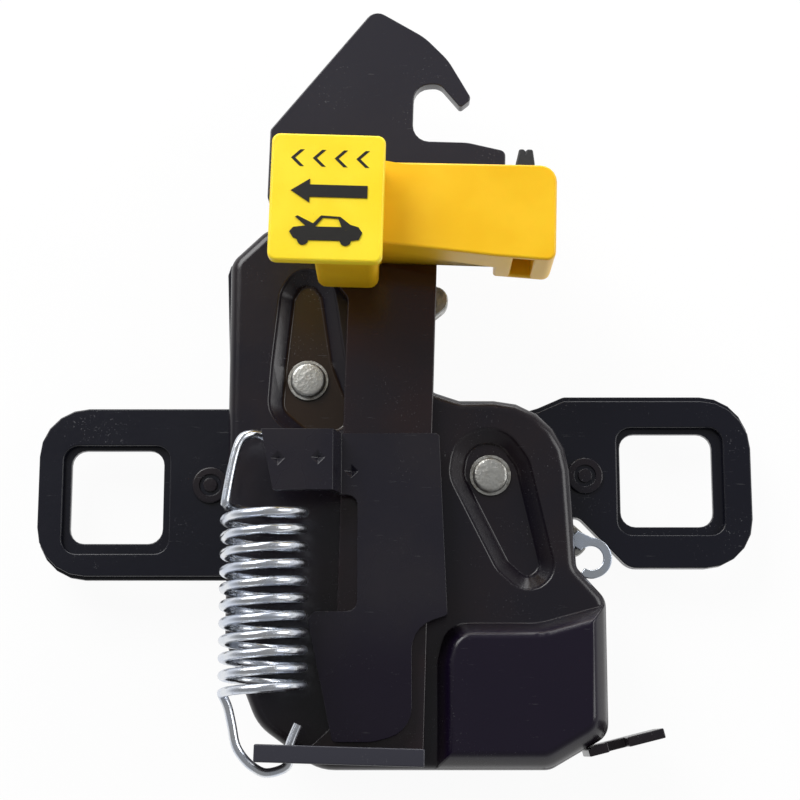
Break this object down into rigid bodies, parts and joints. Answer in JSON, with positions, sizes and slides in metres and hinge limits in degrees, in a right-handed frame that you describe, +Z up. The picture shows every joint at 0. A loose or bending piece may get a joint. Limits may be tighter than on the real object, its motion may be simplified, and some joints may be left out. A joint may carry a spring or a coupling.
{
  "type": "bonnet latch",
  "caption": "Steel bonnet latch with two slotted mounting wings, a sprung safety hook and a yellow release handle.",
  "frame": {"origin": "on the rear mounting face, midway between the two wing openings", "axes": "+Z up towards the safety hook, +Y to the rear through the mounting face, +X to the right seen from the front"},
  "size_m": [0.22, 0.0663, 0.2349],
  "materials": {
    "black_coat": "gloss electrocoat",
    "yellow_plastic": "moulded, slightly glossy",
    "legend_ink": "printed",
    "black_plastic": "moulded",
    "zinc": "bright zinc plate",
    "raw_steel": "worn raw steel"
  },
  "bodies": {
    "housing": {"front_housing": "black_coat", "back_plate": "black_coat", "spring_bracket": "black_coat", "return_spring": "zinc", "lever_pivot": "black_coat", "lever_washer": "raw_steel", "lever_rear_washer": "raw_steel", "ratchet_pivot": "raw_steel", "ratchet_spacer": "raw_steel", "ratchet_spring": "zinc", "pawl_pivot": "raw_steel", "pawl_spacer": "raw_steel", "pawl_spring": "zinc", "wing_rivet_left": "black_coat", "wing_rivet_right": "black_coat"},
    "lever": {"safety_lever": "black_coat", "release_handle": "yellow_plastic", "handle_legend": "legend_ink", "handle_clip": "black_plastic"},
    "ratchet": {"ratchet": "raw_steel"},
    "pawl": {"pawl": "raw_steel", "cable_hook": "zinc"}
  },
  "joints": [
    {"name": "lever_swing", "type": "hinge", "parent": "housing", "child": "lever", "pos_m": [-0.005, -0.0234, -0.06], "axis": [0, -1, 0], "range_deg": [0, 6], "stiffness_Nm_per_rad": 4, "springref_deg": -8.59, "deforming": ["return_spring"]},
    {"name": "ratchet_turn", "type": "hinge", "parent": "housing", "child": "ratchet", "pos_m": [-0.026, -0.0103, 0.0336], "axis": [0, -1, 0], "range_deg": [0, 45]},
    {"name": "pawl_turn", "type": "hinge", "parent": "housing", "child": "pawl", "pos_m": [0.0293, -0.0103, 0.0044], "axis": [0, 1, 0], "range_deg": [0, 12], "stiffness_Nm_per_rad": 0.2, "springref_deg": -17.19}
  ]
}
